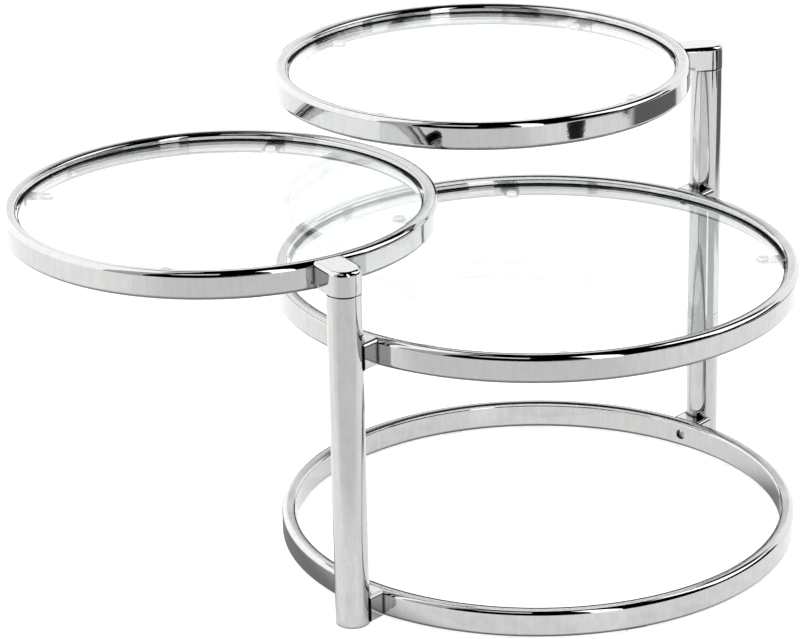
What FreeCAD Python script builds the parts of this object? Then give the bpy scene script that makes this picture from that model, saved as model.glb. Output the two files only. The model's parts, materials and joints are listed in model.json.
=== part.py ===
"""Swivel coffee table: two chromed hoops between two round posts, and a glazed hoop that
swivels on top of each post.

Units are millimetres and degrees. +Z is up. The origin is the centre of the base ring, at
floor level. +X points from the short post to the tall post.
"""
import FreeCAD, Part
import math
import os

V = FreeCAD.Vector
UP = V(0, 0, 1)
ORIGIN = V(0, 0, 0)

# ---------------------------------------------------------------- driving dimensions

# Hoops, bent from rounded rectangular tube
main_ring_radius = 250.0        # outer radius of the base ring and the middle ring
swivel_ring_radius = 205.0      # outer radius of the two swivel rings
ring_height = 27.0
ring_width = 12.0
ring_wall = 1.5
ring_corner = 4.0               # outer corner radius of the tube

# Levels above the floor
foot_height = 1.0               # glides and foot plugs hold the steel this far off the floor
middle_ring_top = 278.5
lower_swivel_top = 351.0
upper_swivel_top = 426.0

# Swivel directions at rest, from each post to the centre of its ring, from +X
lower_swivel_angle = 72.0
upper_swivel_angle = 141.0

# Posts
tall_post_angle = 0.0           # direction of a post from the centre of the main rings, from +X
short_post_angle = 180.0
post_diameter = 32.0
post_wall = 2.0
post_gap = 8.0                  # from a main ring's outer face to the post
post_end_chamfer = 0.5

# Ring brackets and swivel hubs
block_width = 33.0              # across a bracket, and the diameter of a hub
block_step = 0.25               # brackets and hubs lie this far inside the ring's height
block_corner = 4.0              # rounding of the long edges
horn_setback = 7.5              # from the post's axis to the ends of a bracket's saddle
hub_height = 23.0
hub_gap = 7.5                   # from a hub's cylinder to its ring

# Ring and hub screws: hexagon socket cap screws
screw_diameter = 6.0
screw_clearance = 0.2           # radial, where the shank passes freely
screw_head_diameter = 10.0
screw_head_height = 8.0
screw_head_clearance = 0.4      # radial, round the head in the ring's inner wall
socket_width = 5.0              # across the hexagon's flats
socket_depth = 4.0
ring_screw_length = 20.0
hub_screw_length = 16.0

# Threaded blocks in the posts
nut_width = 14.0
nut_height = 12.0
nut_thickness = 6.0

# Foot plugs and glides
plug_depth = 5.0
plug_skin = 3.0
plug_chamfer = 0.5
glide_length = 20.0
glide_margin = 1.0              # a glide stays this far inside the ring's two faces
glide_grip = 2.5                # how far a glide reaches up the ring's corners
glide_angles = [60.0, 120.0, 240.0, 300.0]

# Swivel bearings
spindle_diameter = 16.0
spindle_seat = 17.0             # how far a spindle is pressed into its hub
spindle_chamfer = 1.0
bearing_clearance = 0.05        # radial, between spindle and bushes
bush_flange_thickness = 1.2
bush_flange_inset = 0.4         # radial, from the post's outside
upper_bush_length = 22.0
lower_bush_length = 14.0
bush_span = 48.0                # from the top of the post to the lower end of the lower bush
washer_thickness = 1.5
washer_diameter = 24.0
clip_thickness = 1.2
clip_diameter = 22.0
clip_groove = 1.0               # depth of the groove in the spindle
clip_opening = 11.0
spindle_tail = 3.3              # spindle left below the clip

# Glass and its supports
main_glass_thickness = 8.0
swivel_glass_thickness = 6.0
glass_gap = 2.5                 # from the glass to the ring's inner face
glass_recess = 7.0              # top of the glass below the top of its ring
glass_bevel = 0.8
pad_thickness = 2.0
pad_diameter = 10.0
tab_thickness = 2.0
tab_width = 17.0
tab_length = 28.0
tab_leg = 6.0                   # height of the leg below the tab's plate
tab_angles = [45.0, 135.0, 225.0, 315.0]    # from the direction of the hub or tall post

# ---------------------------------------------------------------- derived dimensions

post_radius = post_diameter / 2
post_bore = post_radius - post_wall
post_offset = main_ring_radius + post_gap + post_radius
hub_radius = block_width / 2
hub_reach = hub_gap + hub_radius
swivel_arm = hub_reach + swivel_ring_radius

base_ring_top = foot_height + ring_height
cut_margin = ring_width         # how far a cutting tool runs past the face that it opens


def post_top(swivel_top):
    """Top of the post tube under the swivel ring whose top edge is at swivel_top."""
    return hub_bottom(swivel_top) - bush_flange_thickness


def hub_bottom(swivel_top):
    return swivel_top - block_step - hub_height


def ring_mid(ring_top):
    return ring_top - ring_height / 2


def glass_bottom(ring_top, thickness):
    return ring_top - glass_recess - thickness


# ---------------------------------------------------------------- shape helpers

def turned(shape, angle):
    """A copy of shape turned about the vertical through the origin."""
    copy = shape.copy()
    copy.rotate(ORIGIN, UP, angle)
    return copy


def moved(shape, x):
    """A copy of shape moved along X."""
    copy = shape.copy()
    copy.translate(V(x, 0, 0))
    return copy


def on_post_axis(shape, post_angle):
    """A copy of shape with its own vertical axis moved to that of the post at post_angle."""
    return turned(moved(turned(shape, -post_angle), post_offset), post_angle)


def rounded_rectangle(low_u, high_u, low_v, high_v, radius, point):
    """Closed wire with round corners; point(u, v) places it in space."""
    corner = radius * (1 - math.sqrt(0.5))
    edges = [
        Part.LineSegment(point(low_u + radius, low_v), point(high_u - radius, low_v)),
        Part.Arc(point(high_u - radius, low_v), point(high_u - corner, low_v + corner),
                 point(high_u, low_v + radius)),
        Part.LineSegment(point(high_u, low_v + radius), point(high_u, high_v - radius)),
        Part.Arc(point(high_u, high_v - radius), point(high_u - corner, high_v - corner),
                 point(high_u - radius, high_v)),
        Part.LineSegment(point(high_u - radius, high_v), point(low_u + radius, high_v)),
        Part.Arc(point(low_u + radius, high_v), point(low_u + corner, high_v - corner),
                 point(low_u, high_v - radius)),
        Part.LineSegment(point(low_u, high_v - radius), point(low_u, low_v + radius)),
        Part.Arc(point(low_u, low_v + radius), point(low_u + corner, low_v + corner),
                 point(low_u + radius, low_v)),
    ]
    return Part.Wire([edge.toShape() for edge in edges])


def hoop(outer_radius, top, inset):
    """Solid of revolution of the ring's section, drawn in by inset on all sides."""
    low_r = outer_radius - ring_width + inset
    high_r = outer_radius - inset
    low_z = top - ring_height + inset
    high_z = top - inset
    corner = ring_corner - inset
    wire = rounded_rectangle(low_r, high_r, low_z, high_z, corner, lambda r, z: V(0, r, z))
    return Part.Face(wire).revolve(ORIGIN, UP, 360)


def x_cylinder(radius, start, end, z):
    """Cylinder along X from start to end, at height z."""
    return Part.makeCylinder(radius, abs(end - start), V(start, 0, z), V(end - start, 0, 0))


def hexagon(width, low, height):
    """Hexagonal prism about Z, width across its flats."""
    radius = width / math.sqrt(3)
    turns = [math.tau * i / 6 for i in range(7)]
    corners = [V(radius * math.cos(turn), radius * math.sin(turn), low) for turn in turns]
    return Part.Face(Part.makePolygon(corners)).extrude(V(0, 0, height))


def group(solids):
    return Part.makeCompound(solids)


def around(shape, angles):
    """The same solid once at each angle about the vertical axis."""
    return group([turned(shape, angle) for angle in angles])


# ---------------------------------------------------------------- rings

def ring_tube(outer_radius, top, hole_angles):
    """Hollow hoop with a screw hole at each angle: wide in the inner wall, narrow in the outer."""
    tube = hoop(outer_radius, top, 0.0).cut(hoop(outer_radius, top, ring_wall))
    inner_face = outer_radius - ring_width
    middle = outer_radius - ring_width / 2
    z = ring_mid(top)
    head_hole = x_cylinder(screw_head_diameter / 2 + screw_head_clearance,
                           inner_face - cut_margin, middle, z)
    shank_hole = x_cylinder(screw_diameter / 2 + screw_clearance, middle,
                            outer_radius + cut_margin, z)
    for angle in hole_angles:
        tube = tube.cut(turned(head_hole, angle)).cut(turned(shank_hole, angle))
    return tube


def ring_bracket(ring_top):
    """Block between a main ring and the tall post, with a saddle at each end."""
    half_width = block_width / 2
    low_z = ring_top - ring_height + block_step
    high_z = ring_top - block_step
    start = main_ring_radius - ring_width / 2
    end = post_offset - horn_setback
    section = rounded_rectangle(-half_width, half_width, low_z, high_z, block_corner,
                                lambda y, z: V(start, y, z))
    block = Part.Face(section).extrude(V(end - start, 0, 0))
    block = block.cut(hoop(main_ring_radius, ring_top, 0.0))
    block = block.cut(Part.makeCylinder(post_radius, ring_height,
                                        V(post_offset, 0, ring_top - ring_height)))
    hole = x_cylinder(screw_diameter / 2 + screw_clearance, start, end, ring_mid(ring_top))
    return block.cut(hole)


# ---------------------------------------------------------------- screws and nuts

def cap_screw(length):
    """Hexagon socket cap screw along Z: the head's seat is at the origin, the tip above it."""
    shank = Part.makeCylinder(screw_diameter / 2, length, ORIGIN, UP)
    head = Part.makeCylinder(screw_head_diameter / 2, screw_head_height,
                             V(0, 0, -screw_head_height), UP)
    socket = hexagon(socket_width, -screw_head_height, socket_depth)
    return head.cut(socket).fuse(shank).removeSplitter()


def along_x(shape, x, z, sign):
    """Lay a Z-wise shape along +X (sign 1) or -X (sign -1), with its origin at x, z."""
    copy = shape.copy()
    copy.rotate(ORIGIN, V(0, 1, 0), 90 * sign)
    copy.translate(V(x, 0, z))
    return copy


def screw_seat(ring_radius):
    """Distance from the ring's centre to a head that rests on the outer wall's curved inside."""
    return math.sqrt((ring_radius - ring_wall) ** 2 - (screw_head_diameter / 2) ** 2)


def ring_screw(ring_top):
    seat = screw_seat(main_ring_radius)
    return along_x(cap_screw(ring_screw_length), seat, ring_mid(ring_top), 1)


def nut_block(ring_top):
    """Threaded block that lies against the bore of the tall post, on the ring's side."""
    z = ring_mid(ring_top)
    start = post_offset - post_bore
    block = Part.makeBox(nut_thickness, nut_width, nut_height,
                         V(start, -nut_width / 2, z - nut_height / 2))
    bore = Part.makeCylinder(post_bore, nut_height, V(post_offset, 0, z - nut_height / 2))
    hole = x_cylinder(screw_diameter / 2, start, start + nut_thickness, z)
    return block.common(bore).cut(hole)


# ---------------------------------------------------------------- posts

def post_tube(top, ring_tops):
    """Tube of the tall post's place, drilled on the ring's side for the ring screws."""
    length = top - foot_height
    base = V(post_offset, 0, foot_height)
    outside = Part.makeCylinder(post_radius, length, base)
    rims = [edge for edge in outside.Edges if edge.Curve.TypeId == "Part::GeomCircle"]
    outside = outside.makeChamfer(post_end_chamfer, rims)
    tube = outside.cut(Part.makeCylinder(post_bore, length, base))
    for ring_top in ring_tops:
        hole = x_cylinder(screw_diameter / 2 + screw_clearance, post_offset - post_diameter,
                          post_offset, ring_mid(ring_top))
        tube = tube.cut(hole)
    return tube


def foot_plug():
    """Plastic cup in the lower end of the tall post, with a flange that stands on the floor."""
    flange = Part.makeCylinder(post_radius, foot_height, V(post_offset, 0, 0))
    floor_rim = [edge for edge in flange.Edges
                 if edge.Curve.TypeId == "Part::GeomCircle" and edge.CenterOfMass.z < foot_height / 2]
    flange = flange.makeChamfer(plug_chamfer, floor_rim)
    body = Part.makeCylinder(post_bore, plug_depth, V(post_offset, 0, foot_height))
    hollow = Part.makeCylinder(post_bore - plug_skin, plug_depth, V(post_offset, 0, foot_height))
    return flange.fuse(body.cut(hollow)).removeSplitter()


def upper_bush(swivel_top):
    """Flanged bush in the top of the tall post; its flange carries the hub."""
    top = post_top(swivel_top)
    flange = Part.makeCylinder(post_radius - bush_flange_inset, bush_flange_thickness,
                               V(post_offset, 0, top))
    body = Part.makeCylinder(post_bore, upper_bush_length, V(post_offset, 0, top - upper_bush_length))
    bore = Part.makeCylinder(spindle_diameter / 2 + bearing_clearance,
                             upper_bush_length + bush_flange_thickness,
                             V(post_offset, 0, top - upper_bush_length))
    return flange.fuse(body).removeSplitter().cut(bore)


def lower_bush(swivel_top):
    low = post_top(swivel_top) - bush_span
    body = Part.makeCylinder(post_bore, lower_bush_length, V(post_offset, 0, low))
    bore = Part.makeCylinder(spindle_diameter / 2 + bearing_clearance, lower_bush_length,
                             V(post_offset, 0, low))
    return body.cut(bore)


def glide():
    """Clip-on glide under the base ring, at +X, shaped to the ring's lower corners."""
    low_x = main_ring_radius - ring_width + glide_margin
    width = ring_width - 2 * glide_margin
    strip = Part.makeBox(width, glide_length, foot_height + glide_grip,
                         V(low_x, -glide_length / 2, 0))
    rim = Part.makeCylinder(main_ring_radius - glide_margin, foot_height + glide_grip)
    core = Part.makeCylinder(low_x, foot_height + glide_grip)
    strip = strip.common(rim).cut(core)
    return strip.cut(hoop(main_ring_radius, base_ring_top, 0.0))


# ---------------------------------------------------------------- swivel tops
# Each is made with its post's axis at the origin and its ring's centre on +X.

def swivel_ring(top):
    """Swivel ring with the hub screw's hole on the side of its post."""
    return moved(ring_tube(swivel_ring_radius, top, [180.0]), swivel_arm)


def swivel_hub(top):
    """Round head with an arm of the same width that ends in a saddle on the ring."""
    low = hub_bottom(top)
    high = top - block_step
    end = hub_reach + ring_width / 2
    radius = hub_radius
    plan = Part.Wire([
        Part.LineSegment(V(0, -radius, low), V(end, -radius, low)).toShape(),
        Part.LineSegment(V(end, -radius, low), V(end, radius, low)).toShape(),
        Part.LineSegment(V(end, radius, low), V(0, radius, low)).toShape(),
        Part.Arc(V(0, radius, low), V(-radius, 0, low), V(0, -radius, low)).toShape(),
    ])
    body = Part.Face(plan).extrude(V(0, 0, high - low))

    def is_top_rim(edge):
        point = edge.CenterOfMass
        return point.z > high - block_corner and point.x < hub_reach

    rims = [edge for edge in body.Edges if is_top_rim(edge)]
    body = body.makeFillet(block_corner, rims)
    body = body.cut(hub_underside(low, end))
    body = body.cut(moved(hoop(swivel_ring_radius, top, 0.0), swivel_arm))
    seat = Part.makeCylinder(spindle_diameter / 2, spindle_seat, V(0, 0, low))
    thread = x_cylinder(screw_diameter / 2, hub_screw_seat() - hub_screw_length, end, ring_mid(top))
    return body.cut(seat).cut(thread)


def hub_underside(low, end):
    """Tool that rounds the two lower edges of a hub's arm, outside the round head."""
    reach = end + cut_margin
    radius = hub_radius
    start = radius
    tools = []
    for side in (1, -1):
        outer = V(start, side * radius, low)
        inner = V(start, side * (radius - block_corner), low)
        upper = V(start, side * radius, low + block_corner)
        bend = block_corner * (1 - math.sqrt(0.5))
        middle = V(start, side * (radius - bend), low + bend)
        profile = Part.Wire([
            Part.LineSegment(outer, inner).toShape(),
            Part.Arc(inner, middle, upper).toShape(),
            Part.LineSegment(upper, outer).toShape(),
        ])
        tools.append(Part.Face(profile).extrude(V(reach - start, 0, 0)))
    return group(tools)


def hub_screw_seat():
    return swivel_arm - screw_seat(swivel_ring_radius)


def hub_screw(top):
    return along_x(cap_screw(hub_screw_length), hub_screw_seat(), ring_mid(top), -1)


def clip_top(top):
    return post_top(top) - bush_span - washer_thickness


def spindle(top):
    low = clip_top(top) - clip_thickness - spindle_tail
    high = hub_bottom(top) + spindle_seat
    rod = Part.makeCylinder(spindle_diameter / 2, high - low, V(0, 0, low))
    rims = [edge for edge in rod.Edges if edge.Curve.TypeId == "Part::GeomCircle"]
    rod = rod.makeChamfer(spindle_chamfer, rims)
    groove_low = clip_top(top) - clip_thickness
    groove = Part.makeCylinder(spindle_diameter / 2, clip_thickness, V(0, 0, groove_low))
    core = Part.makeCylinder(spindle_diameter / 2 - clip_groove, clip_thickness, V(0, 0, groove_low))
    return rod.cut(groove.cut(core))


def washer(top):
    low = clip_top(top)
    disc = Part.makeCylinder(washer_diameter / 2, washer_thickness, V(0, 0, low))
    hole = Part.makeCylinder(spindle_diameter / 2, washer_thickness, V(0, 0, low))
    return disc.cut(hole)


def clip(top):
    """Open spring clip in the spindle's groove."""
    low = clip_top(top) - clip_thickness
    disc = Part.makeCylinder(clip_diameter / 2, clip_thickness, V(0, 0, low))
    hole = Part.makeCylinder(spindle_diameter / 2 - clip_groove, clip_thickness, V(0, 0, low))
    opening = Part.makeBox(clip_diameter, clip_opening, clip_thickness, V(0, -clip_opening / 2, low))
    return disc.cut(hole).cut(opening)


# ---------------------------------------------------------------- glass and supports
# Each is made about its ring's centre, with the hub or the tall post on +X.

def glass_disc(ring_radius, ring_top, thickness):
    """Disc with bevelled edges."""
    radius = ring_radius - ring_width - glass_gap
    low = glass_bottom(ring_top, thickness)
    high = low + thickness
    profile = Part.makePolygon([
        V(0, 0, low), V(radius - glass_bevel, 0, low), V(radius, 0, low + glass_bevel),
        V(radius, 0, high - glass_bevel), V(radius - glass_bevel, 0, high), V(0, 0, high), V(0, 0, low),
    ])
    return Part.Face(profile).revolve(ORIGIN, UP, 360)


def support_tab(ring_radius, ring_top, thickness):
    """Tongue with a round end and a leg against the ring's inner wall, at +X."""
    inner_face = ring_radius - ring_width
    plate_top = glass_bottom(ring_top, thickness) - pad_thickness
    plate_low = plate_top - tab_thickness
    nose_x = inner_face - tab_length + tab_width / 2
    inside = Part.makeCylinder(inner_face, ring_height, V(0, 0, ring_top - ring_height))
    plate = Part.makeBox(ring_width + tab_length, tab_width, tab_thickness,
                         V(nose_x, -tab_width / 2, plate_low))
    nose = Part.makeCylinder(tab_width / 2, tab_thickness, V(nose_x, 0, plate_low))
    plate = plate.fuse(nose).common(inside)
    leg = Part.makeBox(ring_width + tab_length, tab_width, tab_leg,
                       V(nose_x, -tab_width / 2, plate_low - tab_leg))
    core = Part.makeCylinder(inner_face - tab_thickness, ring_height, V(0, 0, ring_top - ring_height))
    leg = leg.common(inside).cut(core)
    return plate.fuse(leg).removeSplitter()


def glass_pad(ring_radius, ring_top, thickness):
    """Clear round pad between a tab and the glass, at +X."""
    x = ring_radius - ring_width - tab_length + tab_width / 2
    low = glass_bottom(ring_top, thickness) - pad_thickness
    return Part.makeCylinder(pad_diameter / 2, pad_thickness, V(x, 0, low))


# ---------------------------------------------------------------- assembly

nodes = {}

# Base ring and middle ring, with a screw hole for each post
post_angles = [tall_post_angle, short_post_angle]
nodes["base_ring"] = ring_tube(main_ring_radius, base_ring_top, post_angles)
nodes["middle_ring"] = ring_tube(main_ring_radius, middle_ring_top, post_angles)
nodes["base_ring_glides"] = around(glide(), glide_angles)

# Everything of a post is made on +X and turned to its angle
posts = {
    "short": {"angle": short_post_angle, "top": lower_swivel_top},
    "tall": {"angle": tall_post_angle, "top": upper_swivel_top},
}
for name, post in posts.items():
    angle = post["angle"]
    top = post["top"]
    tops = [base_ring_top, middle_ring_top]
    nodes[name + "_post"] = turned(post_tube(post_top(top), tops), angle)
    nodes[name + "_post_foot_plug"] = turned(foot_plug(), angle)
    nodes[name + "_post_base_bracket"] = turned(ring_bracket(base_ring_top), angle)
    nodes[name + "_post_middle_bracket"] = turned(ring_bracket(middle_ring_top), angle)
    nodes[name + "_post_ring_screws"] = group([turned(ring_screw(level), angle) for level in tops])
    nodes[name + "_post_nut_blocks"] = group([turned(nut_block(level), angle) for level in tops])
    nodes[name + "_post_upper_bush"] = turned(upper_bush(top), angle)
    nodes[name + "_post_lower_bush"] = turned(lower_bush(top), angle)

# Middle glass on its tabs and pads
glazing = (main_ring_radius, middle_ring_top, main_glass_thickness)
nodes["middle_glass"] = glass_disc(*glazing)
nodes["middle_glass_tabs"] = around(support_tab(*glazing), tab_angles)
nodes["middle_glass_pads"] = around(glass_pad(*glazing), tab_angles)

# Swivel tops, turned to their rest directions about their posts
swivels = {
    "lower": {"top": lower_swivel_top, "angle": lower_swivel_angle, "post_angle": short_post_angle},
    "upper": {"top": upper_swivel_top, "angle": upper_swivel_angle, "post_angle": tall_post_angle},
}
for name, swivel in swivels.items():
    top = swivel["top"]

    def placed(shape):
        return on_post_axis(turned(shape, swivel["angle"]), swivel["post_angle"])

    def in_ring(shape):
        return placed(moved(turned(shape, 180.0), swivel_arm))

    nodes[name + "_swivel_ring"] = placed(swivel_ring(top))
    nodes[name + "_swivel_hub"] = placed(swivel_hub(top))
    nodes[name + "_swivel_hub_screw"] = placed(hub_screw(top))
    nodes[name + "_swivel_spindle"] = placed(spindle(top))
    nodes[name + "_swivel_washer"] = placed(washer(top))
    nodes[name + "_swivel_clip"] = placed(clip(top))
    glazing = (swivel_ring_radius, top, swivel_glass_thickness)
    nodes[name + "_swivel_glass"] = in_ring(glass_disc(*glazing))
    tabs = around(support_tab(*glazing), tab_angles)
    pads = around(glass_pad(*glazing), tab_angles)
    nodes[name + "_swivel_glass_tabs"] = in_ring(tabs)
    nodes[name + "_swivel_glass_pads"] = in_ring(pads)

# ---------------------------------------------------------------- output

os.makedirs("parts", exist_ok=True)
for name, shape in nodes.items():
    shape.exportStep("parts/" + name + ".step")
    print(name, "solids", len(shape.Solids), "valid", shape.isValid(), "volume", round(shape.Volume, 1))
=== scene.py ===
"""Swivel coffee table in a plain pale studio: smooth hoops and glass, finishes, camera and light.

Everything is in metres, in the model's frame: the origin is the centre of the base ring at floor
level, +X points from the short post to the tall post, and +Z is up.
"""
import json
import math

import bpy
from mathutils import Matrix, Vector


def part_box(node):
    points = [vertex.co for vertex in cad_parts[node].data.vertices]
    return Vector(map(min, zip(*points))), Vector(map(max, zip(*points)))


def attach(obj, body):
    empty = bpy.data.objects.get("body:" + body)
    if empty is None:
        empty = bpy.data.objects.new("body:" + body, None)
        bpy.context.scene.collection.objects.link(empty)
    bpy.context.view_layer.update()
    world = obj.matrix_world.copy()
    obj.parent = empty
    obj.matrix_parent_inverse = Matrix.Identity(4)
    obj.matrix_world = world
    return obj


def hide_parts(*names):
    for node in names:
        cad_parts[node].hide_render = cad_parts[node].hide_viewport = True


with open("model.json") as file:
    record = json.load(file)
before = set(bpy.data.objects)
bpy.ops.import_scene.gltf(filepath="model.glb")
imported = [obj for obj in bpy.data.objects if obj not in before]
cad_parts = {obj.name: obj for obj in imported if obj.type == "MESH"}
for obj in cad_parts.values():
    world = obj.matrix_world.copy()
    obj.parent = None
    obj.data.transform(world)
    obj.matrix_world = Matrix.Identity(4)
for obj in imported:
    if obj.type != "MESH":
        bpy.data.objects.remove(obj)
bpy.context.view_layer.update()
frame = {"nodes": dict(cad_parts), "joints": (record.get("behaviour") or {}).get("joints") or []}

nodes = frame["nodes"]
# Where the posts stand, by the name of the swivel on top
posts = {joint["name"]: Vector(joint["pos_m"]) for joint in frame["joints"]}

UP = Vector((0.0, 0.0, 1.0))

# ---------------------------------------------------------------- sizes

RING_WIDTH = 0.013              # radial width of the hoops' tube
RING_CORNER = 0.005             # corner radius of the tube, except at the inner wall's top edge
EDGE_RADIUS = 0.003             # radius of that edge
TOP_CROWN = 0.020               # radius of the top, which falls away from the outer corner to that edge
CORNER_STEPS = 8                # faces round each corner, and across the top
WALL_ROWS = 6                   # rows of faces up the inner and the outer wall
BOTTOM_ROWS = 2
MAIN_COLUMNS = 360              # faces round a main ring
SWIVEL_COLUMNS = 300
HOLE_RADIUS = 0.0050            # screw hole in a ring's inner wall
HOLE_DEPTH = 0.0114
HOLE_REACH = 2                  # columns on each side that the hole's patch takes up
PATCH_SHARES = (0.4, 0.75)      # where the patch's loops lie on the way from its border to the hole
RIM_RADIUS = 0.0004             # rounded edge of the hole
RIM_STEPS = 3

GLASS_BEVEL = 0.0008
GLASS_COLUMNS = 256

# ---------------------------------------------------------------- camera

CAMERA_PLACE = Vector((-2.31513, -1.84498, 1.37946))
CAMERA_HEADING = 41.066         # degrees from +X of the view's horizontal direction
CAMERA_PITCH = -21.43           # degrees above the horizon
CAMERA_ROLL = -1.21
CAMERA_LENS = 148.728           # mm
SENSOR_WIDTH = 36.0             # mm
CLIP_START = 0.1
CLIP_END = 100.0


def make_camera():
    """The camera of the main view."""
    data = bpy.data.cameras.new("camera")
    data.lens = CAMERA_LENS
    data.sensor_width = SENSOR_WIDTH
    data.clip_start = CLIP_START
    data.clip_end = CLIP_END
    camera = bpy.data.objects.new("camera", data)
    heading = Matrix.Rotation(math.radians(CAMERA_HEADING - 90.0), 4, "Z")
    tilt = Matrix.Rotation(math.radians(90.0 + CAMERA_PITCH), 4, "X")
    roll = Matrix.Rotation(math.radians(CAMERA_ROLL), 4, "Z")
    camera.matrix_world = Matrix.Translation(CAMERA_PLACE) @ heading @ tilt @ roll
    bpy.context.scene.collection.objects.link(camera)
    bpy.context.scene.camera = camera


# ---------------------------------------------------------------- node tree helpers

def new_material(name):
    """An empty material with its tree and output node, and the function that adds nodes to it. That
    function's keywords are the node's sockets, and it takes a number, a colour or a socket for each."""
    material = bpy.data.materials.new(name)
    material.use_nodes = True
    tree = material.node_tree
    tree.nodes.clear()
    output = tree.nodes.new("ShaderNodeOutputMaterial")

    def add(kind, **inputs):
        node = tree.nodes.new(kind)
        for label, value in inputs.items():
            socket = node.inputs[label.replace("_", " ")]
            if isinstance(value, bpy.types.NodeSocket):
                tree.links.new(value, socket)
            else:
                socket.default_value = value
        return node

    return material, tree, output, add


def noise(add, place, scale, detail, roughness=0.5):
    """Noise in place, whose scale is in waves to the metre."""
    node = add("ShaderNodeTexNoise", Vector=place, Scale=scale, Detail=detail, Roughness=roughness)
    return node.outputs["Fac"]


def spread(add, value, low, high, start=0.3, end=0.7):
    """Maps a value's range, by default the middle of a noise, to the range low to high."""
    node = add("ShaderNodeMapRange", Value=value)
    node.inputs["From Min"].default_value = start
    node.inputs["From Max"].default_value = end
    node.inputs["To Min"].default_value = low
    node.inputs["To Max"].default_value = high
    return node.outputs["Result"]


def times(add, first, second):
    """Product of two values."""
    node = add("ShaderNodeMath")
    node.operation = "MULTIPLY"
    node.id_data.links.new(first, node.inputs[0])
    node.id_data.links.new(second, node.inputs[1])
    return node.outputs["Value"]


def bump(add, height, distance):
    """Normal of a surface that the height raises by up to the distance."""
    return add("ShaderNodeBump", Height=height, Distance=distance).outputs["Normal"]


# ---------------------------------------------------------------- finishes

CREASE_REACH = 0.005            # how far round a tight corner the painted shade reaches
# painted shade: the dark colour that the chrome turns to in tight corners and on its underside, and faintly
# in its streaks of haze
SHADE_AND_STREAK_COLOUR = (0.012, 0.011, 0.010, 1.0)
PLATE = (0.5, 0.5, 0.495, 1.0)
BLACK = (0.004, 0.004, 0.004, 1.0)
PALE = (0.72, 0.73, 0.73, 1.0)


def chrome(name, low, high, under=1.0):
    """Polished chrome plate with roughness from low to high: faint waves, upright streaks of haze, and
    painted shade in the tight corners and between parts. On the part's underside painted shade leaves
    only the share under of its brightness."""
    material, tree, output, add = new_material(name)
    place = add("ShaderNodeTexCoord").outputs["Object"]
    # painted shade: ambient occlusion darkens the colour in tight corners and between parts
    crease = add("ShaderNodeAmbientOcclusion", Distance=CREASE_REACH)
    crease.samples = 6
    painted_crease_shade = spread(add, crease.outputs["AO"], low=0.0, high=1.0, start=0.55, end=0.85)
    # painted shade: faces that point down keep only the share under of their brightness
    tilt = add("ShaderNodeSeparateXYZ", Vector=add("ShaderNodeNewGeometry").outputs["Normal"]).outputs["Z"]
    painted_underside_shade = spread(add, tilt, low=under, high=1.0, start=-0.4, end=-0.1)
    upright = add("ShaderNodeMapping", Vector=place, Scale=(1.0, 1.0, 0.3)).outputs["Vector"]
    streaks = noise(add, upright, scale=170.0, detail=4.0, roughness=0.7)
    haze = spread(add, streaks, low=0.9, high=1.0)
    tint = add("ShaderNodeMix")
    tint.data_type = "RGBA"
    tree.links.new(times(add, times(add, painted_crease_shade, haze), painted_underside_shade), tint.inputs["Factor"])
    tint.inputs["A"].default_value = SHADE_AND_STREAK_COLOUR
    tint.inputs["B"].default_value = PLATE
    shader = add("ShaderNodeBsdfPrincipled", Metallic=1.0)
    tree.links.new(tint.outputs["Result"], shader.inputs["Base Color"])
    smears = noise(add, place, scale=40.0, detail=6.0)
    tree.links.new(spread(add, smears, low, high), shader.inputs["Roughness"])
    waves = bump(add, noise(add, place, scale=18.0, detail=1.0), distance=0.0001)
    peel = noise(add, place, scale=260.0, detail=2.0)
    surface = add("ShaderNodeBump", Height=peel, Distance=0.000012, Normal=waves)
    tree.links.new(surface.outputs["Normal"], shader.inputs["Normal"])
    tree.links.new(shader.outputs["BSDF"], output.inputs["Surface"])
    return material


def brushed_chrome():
    """Chrome over a top that was brushed along the tube, so it blurs the reflections across it."""
    material = chrome("brushed_chrome", low=0.12, high=0.16)
    tree = material.node_tree
    shader = next(node for node in tree.nodes if node.type == "BSDF_PRINCIPLED")
    shader.inputs["Anisotropic"].default_value = 1.0
    along = tree.nodes.new("ShaderNodeTangent")
    along.direction_type = "RADIAL"
    along.axis = "Z"
    tree.links.new(along.outputs["Tangent"], shader.inputs["Tangent"])
    return material


def tube_inside():
    """Dull, dark steel inside the screw holes."""
    material, tree, output, add = new_material("tube_inside")
    place = add("ShaderNodeTexCoord").outputs["Object"]
    shader = add("ShaderNodeBsdfPrincipled", Metallic=1.0, Base_Color=(0.03, 0.028, 0.026, 1.0))
    smears = noise(add, place, scale=500.0, detail=4.0)
    tree.links.new(spread(add, smears, low=0.4, high=0.6), shader.inputs["Roughness"])
    grain = noise(add, place, scale=900.0, detail=2.0)
    tree.links.new(bump(add, grain, distance=0.00005), shader.inputs["Normal"])
    tree.links.new(shader.outputs["BSDF"], output.inputs["Surface"])
    return material


def glass():
    """Clear float glass with faint smears, tinted green in its depth."""
    material, tree, output, add = new_material("float_glass")
    place = add("ShaderNodeTexCoord").outputs["Object"]
    shader = add("ShaderNodeBsdfPrincipled", Base_Color=(0.985, 1.0, 0.992, 1.0), IOR=1.52)
    shader.inputs["Transmission Weight"].default_value = 1.0
    smears = noise(add, place, scale=9.0, detail=5.0)
    tree.links.new(spread(add, smears, low=0.0, high=0.012), shader.inputs["Roughness"])
    tree.links.new(shader.outputs["BSDF"], output.inputs["Surface"])
    tint = add("ShaderNodeVolumeAbsorption", Color=(0.55, 0.86, 0.74, 1.0), Density=7.0)
    tree.links.new(tint.outputs["Volume"], output.inputs["Volume"])
    return material


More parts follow.
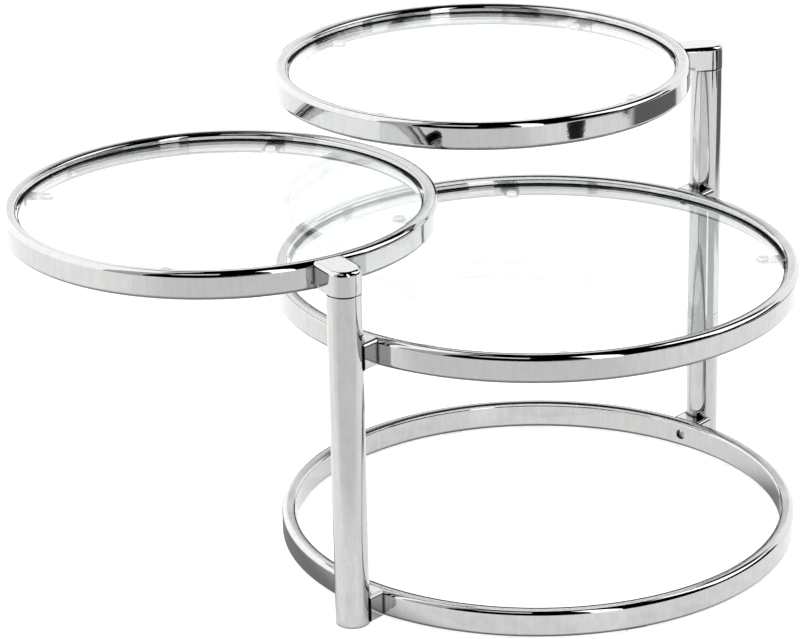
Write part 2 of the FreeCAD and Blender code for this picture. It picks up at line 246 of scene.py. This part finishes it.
def glass_edge():
    """Ground edge of the glass, painted nearly black green: painted shade of the dark gap between glass
    and ring, which the edge shows from inside.
    """
    material, tree, output, add = new_material("ground_glass_edge")
    place = add("ShaderNodeTexCoord").outputs["Object"]
    # painted shade: a nearly black base colour for the dark gap beside the edge
    shader = add("ShaderNodeBsdfPrincipled", Base_Color=(0.002, 0.006, 0.005, 1.0), IOR=1.3)
    smears = noise(add, place, scale=700.0, detail=3.0)
    tree.links.new(spread(add, smears, low=0.35, high=0.55), shader.inputs["Roughness"])
    grain = noise(add, place, scale=2500.0, detail=2.0)
    tree.links.new(bump(add, grain, distance=0.00002), shader.inputs["Normal"])
    tree.links.new(shader.outputs["BSDF"], output.inputs["Surface"])
    return material


def clear_pad():
    """Clear vinyl. Its faint glow stands for the light that it gathers from the glass above."""
    material, tree, output, add = new_material("clear_vinyl")
    place = add("ShaderNodeTexCoord").outputs["Object"]
    shader = add("ShaderNodeBsdfPrincipled", Base_Color=(0.95, 0.96, 0.96, 1.0), IOR=1.2)
    shader.inputs["Transmission Weight"].default_value = 0.15
    shader.inputs["Emission Color"].default_value = (0.95, 0.97, 0.96, 1.0)
    shader.inputs["Emission Strength"].default_value = 0.16
    smears = noise(add, place, scale=300.0, detail=3.0)
    tree.links.new(spread(add, smears, low=0.08, high=0.2), shader.inputs["Roughness"])
    tree.links.new(shader.outputs["BSDF"], output.inputs["Surface"])
    return material


def plastic(name, colour, low, high, specular):
    """Moulded plastic with a fine grain and roughness from low to high."""
    material, tree, output, add = new_material(name)
    place = add("ShaderNodeTexCoord").outputs["Object"]
    shader = add("ShaderNodeBsdfPrincipled", Base_Color=colour)
    shader.inputs["Specular IOR Level"].default_value = specular
    smears = noise(add, place, scale=60.0, detail=4.0)
    tree.links.new(spread(add, smears, low, high), shader.inputs["Roughness"])
    grain = noise(add, place, scale=900.0, detail=2.0)
    tree.links.new(bump(add, grain, distance=0.00004), shader.inputs["Normal"])
    tree.links.new(shader.outputs["BSDF"], output.inputs["Surface"])
    return material


def steel():
    """Dull zinc plate on the screws, nut blocks, spindles, washers and clips."""
    material, tree, output, add = new_material("plated_steel")
    place = add("ShaderNodeTexCoord").outputs["Object"]
    shader = add("ShaderNodeBsdfPrincipled", Metallic=1.0, Base_Color=(0.8, 0.8, 0.79, 1.0))
    smears = noise(add, place, scale=220.0, detail=5.0)
    tree.links.new(spread(add, smears, low=0.22, high=0.36), shader.inputs["Roughness"])
    grain = noise(add, place, scale=700.0, detail=2.0)
    tree.links.new(bump(add, grain, distance=0.00003), shader.inputs["Normal"])
    tree.links.new(shader.outputs["BSDF"], output.inputs["Surface"])
    return material


FINISHES = {                    # by the record's material slots
    "chrome": chrome("polished_chrome", low=0.03, high=0.07),
    "glass": glass(),
    "clear_pad": clear_pad(),
    "bush_plastic": plastic("black_nylon", BLACK, low=0.4, high=0.55, specular=0.15),
    "foot_plastic": plastic("natural_polyethylene", PALE, low=0.3, high=0.45, specular=0.4),
    "steel": steel(),
}
# painted shade: the hoops' chrome keeps a quarter of its brightness on faces that point down
HOOP_FINISHES = [chrome("hoop_chrome", low=0.03, high=0.06, under=0.25), tube_inside(), brushed_chrome()]
PLAIN, INSIDE, BRUSHED = range(3)                # places in HOOP_FINISHES
DISC_FINISHES = [FINISHES["glass"], glass_edge()]
CLEAR, EDGE = range(2)                           # places in DISC_FINISHES


def dress_nodes():
    """Gives the CAD nodes that stay their finishes."""
    for node in nodes.values():
        for slot in node.material_slots:
            slot.material = FINISHES[slot.material.name.split(".")[0]]


# ---------------------------------------------------------------- mesh helpers

class Skin:
    """Points with a normal each, and faces with a finish each and a normal for each corner."""

    def __init__(self):
        self.points = []
        self.normals = []
        self.faces = []
        self.corner_normals = []
        self.finish_of_face = []

    def add_point(self, point, normal):
        """Gives back the point's number."""
        self.points.append(point)
        self.normals.append(normal)
        return len(self.points) - 1

    def add_face(self, corners, finish, corner_normals=None):
        """Takes the corners' own normals if it is given no others."""
        self.faces.append(corners)
        self.corner_normals.append(corner_normals or [self.normals[corner] for corner in corners])
        self.finish_of_face.append(finish)

    def bridge(self, outer, inner, finish):
        """Faces between two closed loops with as many points each."""
        for index in range(len(outer)):
            following = (index + 1) % len(outer)
            self.add_face([outer[index], outer[following], inner[following], inner[index]], finish)

    def make_piece(self, name, finishes):
        """The object. A face's finish is its place in the list of finishes."""
        mesh = bpy.data.meshes.new(name)
        mesh.from_pydata(self.points, [], self.faces)
        for finish in finishes:
            mesh.materials.append(finish)
        mesh.polygons.foreach_set("material_index", self.finish_of_face)
        mesh.polygons.foreach_set("use_smooth", [True] * len(self.faces))
        mesh.normals_split_custom_set([normal for normals in self.corner_normals for normal in normals])
        obj = bpy.data.objects.new(name, mesh)
        bpy.context.scene.collection.objects.link(obj)
        return obj


def place_for(obj, node, body):
    """Puts a piece in a CAD node's place."""
    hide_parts(node)
    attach(obj, body)


def round_size(node):
    """Centre, outer radius, lowest and highest level of a round CAD node."""
    low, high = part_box(node)
    centre = (low + high) / 2
    return centre, (high.x - low.x) / 2, low.z, high.z


def heading_of(vector):
    """Angle from +X of a vector seen from above."""
    return math.atan2(vector.y, vector.x)


def around(angle):
    """Level unit vector at an angle from +X."""
    return Vector((math.cos(angle), math.sin(angle), 0.0))


# ---------------------------------------------------------------- hoops

def hoop_section(outer_radius, low, high):
    """Points (radius, height, normal outwards, normal upwards) round the tube, from the outer wall's
    top over the crown, down the inner wall and back under the bottom, and the rows of faces on the
    crown and on the inner wall."""
    inner_radius = outer_radius - RING_WIDTH
    crest = outer_radius - RING_CORNER
    lean = math.asin((crest - inner_radius - EDGE_RADIUS) / (TOP_CROWN - EDGE_RADIUS))
    edge_height = high - TOP_CROWN + (TOP_CROWN - EDGE_RADIUS) * math.cos(lean)
    lean_turn = 90 + math.degrees(lean)
    # Centre's radius and height, own radius, first and last turn, rows of faces on the flat after it
    arcs = [
        (crest, high - RING_CORNER, RING_CORNER, 0, 90, 0),
        (crest, high - TOP_CROWN, TOP_CROWN, 90, lean_turn, 0),
        (inner_radius + EDGE_RADIUS, edge_height, EDGE_RADIUS, lean_turn, 180, WALL_ROWS),
        (inner_radius + RING_CORNER, low + RING_CORNER, RING_CORNER, 180, 270, BOTTOM_ROWS),
        (crest, low + RING_CORNER, RING_CORNER, 270, 360, WALL_ROWS),
    ]
    section = []
    for index, (radius, height, corner, first, last, rows) in enumerate(arcs):
        for step in range(CORNER_STEPS + (rows > 0)):
            turn = math.radians(first + (last - first) * step / CORNER_STEPS)
            out, up = math.cos(turn), math.sin(turn)
            section.append((radius + corner * out, height + corner * up, out, up))
        if last == 180:         # the flat that follows is the inner wall
            wall_rows = range(len(section) - 1, len(section) - 1 + WALL_ROWS)
        next_radius, next_height, next_corner = arcs[(index + 1) % len(arcs)][:3]
        start_radius, start_height, out, up = section[-1]
        end_radius, end_height = next_radius + next_corner * out, next_height + next_corner * up
        for row in range(1, rows):
            share = row / rows
            section.append((start_radius + (end_radius - start_radius) * share,
                            start_height + (end_height - start_height) * share, out, up))
    return section, range(CORNER_STEPS, 2 * CORNER_STEPS), wall_rows


def hoop(name, node, body, columns, hole_angles):
    """The whole tube skin, with a round screw hole in the inner wall at each angle."""
    centre, outer_radius, low, high = round_size(node)
    section, crown_rows, wall_rows = hoop_section(outer_radius, low, high)
    rows = len(section)
    first_angle = hole_angles[0]
    hole_columns = [round((angle - first_angle) / math.tau * columns) % columns for angle in hole_angles]

    skin = Skin()
    for column in range(columns):
        outwards = around(first_angle + math.tau * column / columns)
        for radius, height, out, up in section:
            point = Vector((centre.x, centre.y, height)) + outwards * radius
            skin.add_point(point, outwards * out + UP * up)

    def at(column, row):
        """Number of a point."""
        return (column % columns) * rows + row % rows

    def in_hole(column, row):
        """Whether a face lies in a hole's patch."""
        near = any((column - hole + HOLE_REACH) % columns < 2 * HOLE_REACH for hole in hole_columns)
        return near and row in wall_rows

    for column in range(columns):
        for row in range(rows):
            if not in_hole(column, row):
                corners = [at(column, row), at(column + 1, row), at(column + 1, row + 1), at(column, row + 1)]
                skin.add_face(corners, BRUSHED if row in crown_rows else PLAIN)

    top_row, bottom_row = wall_rows[0], wall_rows[-1] + 1
    for hole in hole_columns:
        left, right = hole - HOLE_REACH, hole + HOLE_REACH
        border = [at(column, top_row) for column in range(left, right)]
        border += [at(right, row) for row in range(top_row, bottom_row)]
        border += [at(column, bottom_row) for column in range(right, left, -1)]
        border += [at(left, row) for row in range(bottom_row, top_row, -1)]
        add_hole(skin, centre, outer_radius - RING_WIDTH, first_angle + math.tau * hole / columns, border)

    place_for(skin.make_piece(name, HOOP_FINISHES), node, body)


def add_hole(skin, centre, wall_radius, angle, border):
    """Fills the patch inside the border's points with the round wall, a hole at the angle, and the
    hole's rounded rim and bore."""
    inwards, side = -around(angle), around(angle + math.pi / 2)
    turns = []
    for corner in border:
        offset = skin.points[corner] - centre
        turns.append(math.atan2(offset.z, offset.dot(side)))

    def loop(radius, depth, facing):
        """Points about the hole's axis. Facing is 1 for the wall's normals and 0 for the bore's."""
        made = []
        bend = math.pi / 2 * facing
        for turn in turns:
            across = radius * math.cos(turn)
            reach = math.sqrt(wall_radius ** 2 - across ** 2) + depth
            point = centre + UP * (radius * math.sin(turn)) - inwards * reach + side * across
            away = side * math.cos(turn) + UP * math.sin(turn)
            wall = (inwards * reach - side * across).normalized()
            normal = (wall * math.sin(bend) - away * math.cos(bend)).normalized()
            made.append(skin.add_point(point, normal))
        return made

    previous = border
    for share in PATCH_SHARES:
        patch = loop(HOLE_RADIUS + RIM_RADIUS, depth=0.0, facing=1.0)
        for corner, place in zip(border, patch):
            outwards = skin.points[corner].lerp(skin.points[place], share) - centre
            height = outwards.z
            outwards.z = 0.0
            outwards.normalize()
            skin.points[place] = centre + UP * height + outwards * wall_radius
            skin.normals[place] = -outwards
        skin.bridge(previous, patch, PLAIN)
        previous = patch
    for step in range(RIM_STEPS + 1):
        turn = math.pi / 2 * step / RIM_STEPS
        radius = HOLE_RADIUS + RIM_RADIUS * (1 - math.sin(turn))
        rim = loop(radius, depth=RIM_RADIUS * (1 - math.cos(turn)), facing=1 - step / RIM_STEPS)
        skin.bridge(previous, rim, PLAIN)
        previous = rim
    bottom = loop(HOLE_RADIUS, HOLE_DEPTH, facing=0.0)
    skin.bridge(previous, bottom, INSIDE)
    skin.add_face(bottom, INSIDE, [inwards] * len(bottom))


def hoops():
    """The four rings, with their first screw hole towards a post."""
    to_posts = [heading_of(post) for post in posts.values()]
    hoop("base_hoop", "base_ring", "stand", MAIN_COLUMNS, to_posts)
    hoop("middle_hoop", "middle_ring", "stand", MAIN_COLUMNS, to_posts)
    for side in ("lower", "upper"):
        node = f"{side}_swivel_ring"
        centre = round_size(node)[0]
        to_post = heading_of(posts[f"{side}_swivel"] - centre)
        hoop(f"{side}_swivel_hoop", node, f"{side}_top", SWIVEL_COLUMNS, [to_post])


# ---------------------------------------------------------------- glass

def glass_disc(name, node, body):
    """Disc with bevelled, ground edges: flat bands between sharp rims."""
    centre, radius, low, high = round_size(node)
    rims = [(radius - GLASS_BEVEL, low), (radius, low + GLASS_BEVEL), (radius, high - GLASS_BEVEL),
            (radius - GLASS_BEVEL, high)]
    directions = [around(math.tau * column / GLASS_COLUMNS) for column in range(GLASS_COLUMNS)]
    skin = Skin()
    loops = []
    for rim_radius, height in rims:
        middle = Vector((centre.x, centre.y, height))
        loops.append([skin.add_point(middle + outwards * rim_radius, outwards) for outwards in directions])
    for band in range(len(rims) - 1):
        (start_radius, start_height), (end_radius, end_height) = rims[band], rims[band + 1]
        out, up = end_height - start_height, start_radius - end_radius
        normals = [(outwards * out + UP * up).normalized() for outwards in directions]
        start, end = loops[band], loops[band + 1]
        for column in range(GLASS_COLUMNS):
            following = (column + 1) % GLASS_COLUMNS
            corners = [start[column], start[following], end[following], end[column]]
            skin.add_face(corners, EDGE, [normals[i] for i in (column, following, following, column)])
    skin.add_face(loops[-1], CLEAR, [UP] * GLASS_COLUMNS)
    skin.add_face(loops[0][::-1], CLEAR, [-UP] * GLASS_COLUMNS)
    obj = skin.make_piece(name, DISC_FINISHES)
    obj.visible_shadow = False
    place_for(obj, node, body)


def glazing():
    """The three glass discs."""
    glass_disc("middle_glass_disc", "middle_glass", "stand")
    for side in ("lower", "upper"):
        glass_disc(f"{side}_glass_disc", f"{side}_swivel_glass", f"{side}_top")


# ---------------------------------------------------------------- studio

FLOOR_SIZE = 60.0
GROUND_END = 25.0               # how far the dark ground beyond the paper reaches
GROUND_LIFT = 0.002             # how far the patches of ground lie above the paper
SHADE_LIFT = 0.0015             # and the base ring's shade
ROOM_LIGHT = 1.55               # even light from all sides, which the reflections don't show
PAPER_LEVEL = 1.3               # how bright the paper is in the reflections
DARK_LEVEL = 0.02
BASE_SHADE_LEVEL = 0.3          # the base ring's shade at its darkest
SHADE_CORE = 0.2                # up to this reach a shade is as deep as where reach is 0
SHADE_REACH = 0.09              # how far the base ring's shade reaches to the side
SHADE_STEPS = 90                # faces along half a ring of shade
SHADE_ROWS = 5                  # rows of points across it
WALL_STEP = 10.0                # degrees of a wall that one panel takes up
WALL_OVERLAP = 1.01             # a panel's width as a share of its step, so that no gap shows


def floor():
    """Wide white paper under the table, with a faint mottle."""
    mesh = bpy.data.meshes.new("floor")
    half = FLOOR_SIZE / 2
    corners = [(-half, -half, 0.0), (half, -half, 0.0), (half, half, 0.0), (-half, half, 0.0)]
    mesh.from_pydata(corners, [], [(0, 1, 2, 3)])
    obj = bpy.data.objects.new("floor", mesh)
    bpy.context.scene.collection.objects.link(obj)
    material, tree, output, add = new_material("studio_paper")
    place = add("ShaderNodeTexCoord").outputs["Object"]
    shader = add("ShaderNodeBsdfPrincipled", Base_Color=(0.35, 0.35, 0.35, 1.0), Roughness=0.45)
    shader.inputs["Emission Color"].default_value = (1.0, 1.0, 1.0, 1.0)
    mottle = noise(add, place, scale=45.0, detail=5.0, roughness=0.7)
    tree.links.new(spread(add, mottle, low=0.75, high=0.95), shader.inputs["Emission Strength"])
    grain = noise(add, place, scale=400.0, detail=2.0)
    tree.links.new(bump(add, grain, distance=0.00002), shader.inputs["Normal"])
    tree.links.new(shader.outputs["BSDF"], output.inputs["Surface"])
    mesh.materials.append(material)


def from_camera_heading(azimuth):
    """Unit vector on the floor: 0 is away from the camera, 90 to its left and 180 towards it."""
    return around(math.radians(CAMERA_HEADING) + math.radians(azimuth))


def reflected_piece(name, points, faces, material, reaches=None):
    """Piece of the studio that is seen only in the reflections. Reaches gives the mesh its number reach
    at each point."""
    mesh = bpy.data.meshes.new(name)
    mesh.from_pydata(points, [], faces)
    if reaches:
        mesh.attributes.new("reach", "FLOAT", "POINT").data.foreach_set("value", reaches)
    mesh.materials.append(material)
    obj = bpy.data.objects.new(name, mesh)
    bpy.context.scene.collection.objects.link(obj)
    obj.visible_camera = False
    obj.visible_diffuse = False
    obj.visible_transmission = False
    obj.visible_shadow = False


def glowing(name, brightness, fade=None):
    """Emissive material that may fade to black between two heights."""
    material, tree, output, add = new_material(name)
    light = add("ShaderNodeEmission", Color=(1.0, 1.0, 1.0, 1.0), Strength=brightness)
    if fade:
        place = add("ShaderNodeTexCoord").outputs["Object"]
        height = add("ShaderNodeSeparateXYZ", Vector=place).outputs["Z"]
        level = spread(add, height, low=brightness, high=0.0, start=fade[0], end=fade[1])
        level.node.interpolation_type = "SMOOTHSTEP"
        tree.links.new(level, light.inputs["Strength"])
    tree.links.new(light.outputs["Emission"], output.inputs["Surface"])
    return material


def shade_paper(name, level):
    """Emissive material that gives the level where the mesh's number reach is 0, and is as bright as the
    paper where it is 1."""
    material, tree, output, add = new_material(name)
    reach = add("ShaderNodeAttribute")
    reach.attribute_name = "reach"
    strength = spread(add, reach.outputs["Fac"], low=level, high=PAPER_LEVEL, start=SHADE_CORE, end=1.0)
    strength.node.interpolation_type = "SMOOTHSTEP"
    light = add("ShaderNodeEmission", Color=(1.0, 1.0, 1.0, 1.0), Strength=strength)
    tree.links.new(light.outputs["Emission"], output.inputs["Surface"])
    return material


def panel(name, azimuth, distance, width, low, high, material):
    """Upright panel that faces the table, in the direction azimuth from the camera's heading."""
    towards = from_camera_heading(azimuth)
    side = Vector((-towards.y, towards.x, 0.0)) * (width / 2)
    centre = towards * distance
    bottom, top = UP * low, UP * high
    corners = [centre - side + bottom, centre + side + bottom, centre + side + top, centre - side + top]
    reflected_piece(name, corners, [(0, 1, 2, 3)], material)


def wall(name, first, last, distance, low, high, material):
    """Round wall of upright panels, from the first azimuth to the last."""
    width = 2.0 * distance * math.tan(math.radians(WALL_STEP / 2)) * WALL_OVERLAP
    for i in range(round((last - first) / WALL_STEP)):
        panel(f"{name}_{i}", first + (i + 0.5) * WALL_STEP, distance, width, low, high, material)


def ground(name, columns, rows, material):
    """Patch of ground with a shade of its own. The columns are distances from the table to the camera's
    right, and the rows distances away from the camera. Its number reach is 1 along the border."""
    ahead, across = from_camera_heading(0.0), from_camera_heading(-90.0)
    points = []
    reaches = []
    for y in rows:
        for x in columns:
            points.append(across * x + ahead * y + UP * GROUND_LIFT)
            reaches.append(float(y in (rows[0], rows[-1]) or x in (columns[0], columns[-1])))
    width = len(columns)
    faces = [(row * width + i, row * width + i + 1, (row + 1) * width + i + 1, (row + 1) * width + i)
             for row in range(len(rows) - 1) for i in range(width - 1)]
    reflected_piece(name, points, faces, material, reaches)


def half_ring(name, radius, first, focus):
    """Shade on the paper along half a circle, from the first azimuth on, that reaches to the camera's
    left. It falls off towards the ends, the sooner the higher the focus is."""
    sweep = from_camera_heading(90.0) * SHADE_REACH
    points = []
    reaches = []
    for step in range(SHADE_STEPS + 1):
        share = step / SHADE_STEPS
        place = from_camera_heading(first + 180.0 * share) * radius + UP * SHADE_LIFT
        depth = abs(math.sin(math.pi * share)) ** focus
        for row in range(SHADE_ROWS):
            reach = row / (SHADE_ROWS - 1)
            points.append(place + sweep * reach)
            reaches.append(1.0 - depth * (1.0 - reach))
    faces = [(i * SHADE_ROWS + row, i * SHADE_ROWS + row + 1,
              (i + 1) * SHADE_ROWS + row + 1, (i + 1) * SHADE_ROWS + row)
             for i in range(SHADE_STEPS) for row in range(SHADE_ROWS - 1)]
    reflected_piece(name, points, faces, shade_paper(name, BASE_SHADE_LEVEL), reaches)


def base_shade():
    """Shade that the base ring throws to the camera's left, outside the tube's left half and inside its
    right half."""
    outer_radius = round_size("base_ring")[1]
    half_ring("shade_outside", outer_radius, first=0.0, focus=1.0)
    half_ring("shade_inside", outer_radius - RING_WIDTH, first=180.0, focus=10.0)


def studio():
    """Floor, even light, and the walls, lights and dark ground that the chrome reflects."""
    floor()
    world = bpy.data.worlds.new("studio")
    world.use_nodes = True
    background = world.node_tree.nodes["Background"]
    background.inputs["Color"].default_value = (1.0, 1.0, 1.0, 1.0)
    background.inputs["Strength"].default_value = ROOM_LIGHT
    bpy.context.scene.world = world
    world.cycles_visibility.glossy = False

    wall("backdrop", first=-60.0, last=20.0, distance=6.0, low=-0.5, high=5.0,
         material=glowing("backdrop", brightness=1.6, fade=(3.3, 4.9)))
    wall("left_wall", first=20.0, last=120.0, distance=3.5, low=-0.5, high=12.0,
         material=glowing("left_wall", brightness=1.9))
    wall("left_corner", first=120.0, last=140.0, distance=4.0, low=-0.5, high=8.0,
         material=glowing("left_corner", brightness=0.7))
    panel("rear_light", azimuth=160.0, distance=2.5, width=1.25, low=2.5, high=4.9,
          material=glowing("rear_light", brightness=1.2))
    panel("strip_light", azimuth=-155.0, distance=2.0, width=0.44, low=0.0, high=3.9,
          material=glowing("strip_light", brightness=3.0))
    wall("right_wall", first=-100.0, last=-60.0, distance=3.0, low=1.35, high=6.0,
         material=glowing("right_wall", brightness=2.6))
    panel("dark_card", azimuth=0.0, distance=1.5, width=0.9, low=0.0, high=0.55,
          material=glowing("dark_card", DARK_LEVEL))

    dark = glowing("dark_ground", DARK_LEVEL)
    ground("ground_side", columns=(1.36, GROUND_END), rows=(-1.5, -0.05), material=dark)
    ground("ground_front", columns=(-GROUND_END, 0.98), rows=(-GROUND_END, -1.5), material=dark)
    ground("stand_foot", columns=(0.92, 1.13), rows=(-0.92, -0.72), material=dark)
    ground("ground_near", columns=(-1.0, -0.55, 0.2, 0.7), rows=(-1.5, -1.49, -0.6, -0.36),
           material=shade_paper("near_paper", level=1.07))
    ground("ground_right", columns=(0.9, 1.15, 6.0, GROUND_END), rows=(-0.1, 0.1, 0.9, 1.1),
           material=shade_paper("right_paper", level=0.2))
    base_shade()


# ---------------------------------------------------------------- the scene

make_camera()
dress_nodes()
hoops()
glazing()
studio()
bpy.context.scene.view_settings.view_transform = "Standard"
